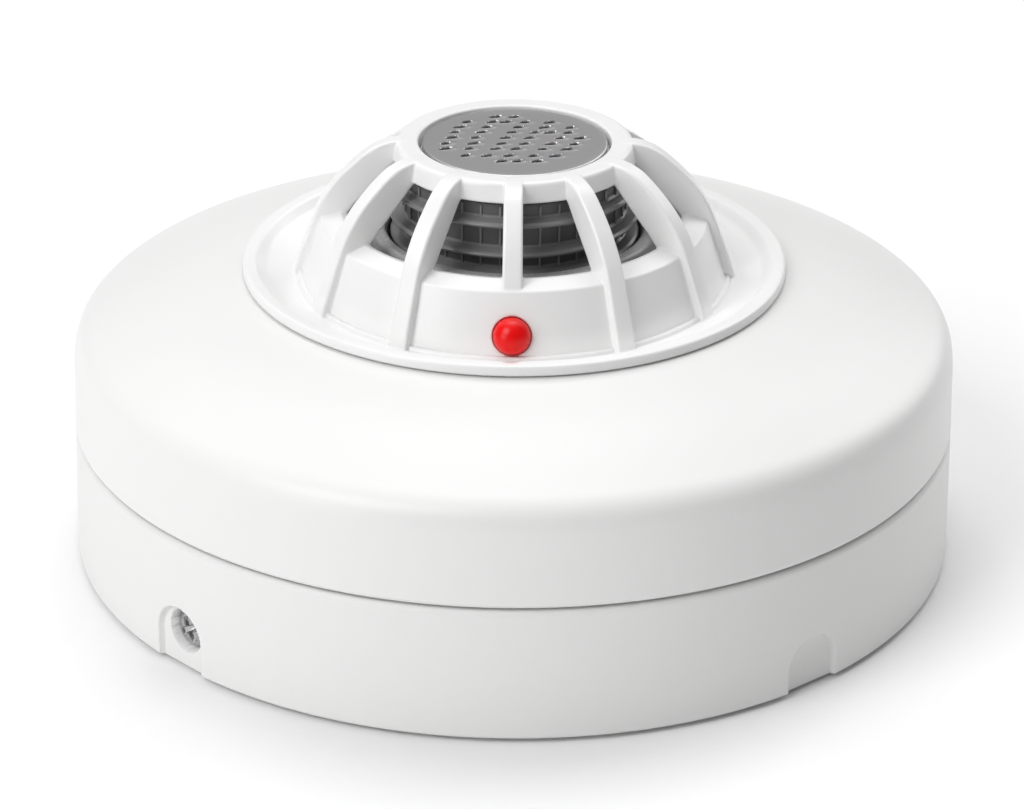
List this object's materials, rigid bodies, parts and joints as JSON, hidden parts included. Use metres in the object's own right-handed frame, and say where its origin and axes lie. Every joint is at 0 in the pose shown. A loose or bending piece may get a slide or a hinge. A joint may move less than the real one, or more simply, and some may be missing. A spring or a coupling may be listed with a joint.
{
  "type": "heat detector",
  "caption": "Round ceiling heat detector: twist-on head with a ribbed open cage over a thermistor, louvred metal cap, red indicator and a screw-locked mounting base.",
  "frame": {"origin": "middle of the mounting face, on the centre line", "axes": "+Z out of the face of the detector, away from the mounting surface; -Y towards the red indicator; +X to its right when seen from the front"},
  "size_m": [0.1058, 0.1058, 0.0498],
  "materials": {
    "cover_white": "satin moulded ABS with a very fine grain",
    "base_white": "finely spark-textured moulded ABS",
    "cage_white": "smooth moulded ABS",
    "cap_metal": "satin stainless sheet with lanced louvres",
    "basket_grey": "semi-gloss dark grey moulding",
    "seat_grey": "semi-gloss grey moulding",
    "natural_plastic": "unpainted structural plastic",
    "tinned_brass": "tinned spring brass",
    "plated_steel": "bright zinc plated",
    "red_lens": "diffused red epoxy",
    "board_green": "green solder mask",
    "black_epoxy": "moulded black epoxy",
    "bead_black": "epoxy-dipped bead",
    "can_sleeve": "shrink sleeve",
    "seal_rubber": "soft black rubber"
  },
  "bodies": {
    "base": {"mounting_base": "base_white", "base_contact_1": "tinned_brass", "base_contact_2": "tinned_brass", "base_contact_3": "tinned_brass", "base_contact_4": "tinned_brass", "wire_clamp_1": "plated_steel", "wire_clamp_2": "plated_steel", "wire_clamp_3": "plated_steel", "wire_clamp_4": "plated_steel", "terminal_screw_1": "plated_steel", "terminal_screw_2": "plated_steel", "terminal_screw_3": "plated_steel", "terminal_screw_4": "plated_steel", "lock_screw_nut": "plated_steel"},
    "locking_screw": {"locking_screw": "plated_steel"},
    "head": {"head_chassis": "natural_plastic", "blade_contact_1": "tinned_brass", "blade_contact_2": "tinned_brass", "blade_contact_3": "tinned_brass", "blade_contact_4": "tinned_brass", "chassis_screw_1": "plated_steel", "chassis_screw_2": "plated_steel", "chassis_screw_3": "plated_steel", "seal_ring": "seal_rubber", "outer_cover": "cover_white", "sensor_cage": "cage_white", "indicator_led": "red_lens", "led_leg_anode": "plated_steel", "led_leg_cathode": "plated_steel", "top_cap": "cap_metal", "mesh_basket": "basket_grey", "basket_seat": "seat_grey", "thermistor_post": "natural_plastic", "sensing_thermistor": "bead_black", "circuit_board": "board_green", "comparator_chip": "black_epoxy", "bridge_rectifier": "black_epoxy", "smoothing_capacitor": "can_sleeve", "reference_thermistor": "bead_black", "alarm_thyristor": "black_epoxy"}
  },
  "joints": [
    {"name": "head_twist", "type": "hinge", "parent": "base", "child": "head", "pos_m": [0, 0, 0.014], "axis": [0, 0, 1], "range_deg": [0, 20]},
    {"name": "locking_screw_turn", "type": "hinge", "parent": "base", "child": "locking_screw", "pos_m": [-0.03323, -0.03323, 0.0045], "axis": [-0.7071, -0.7071, 0], "range_deg": [-1080, 0]}
  ]
}
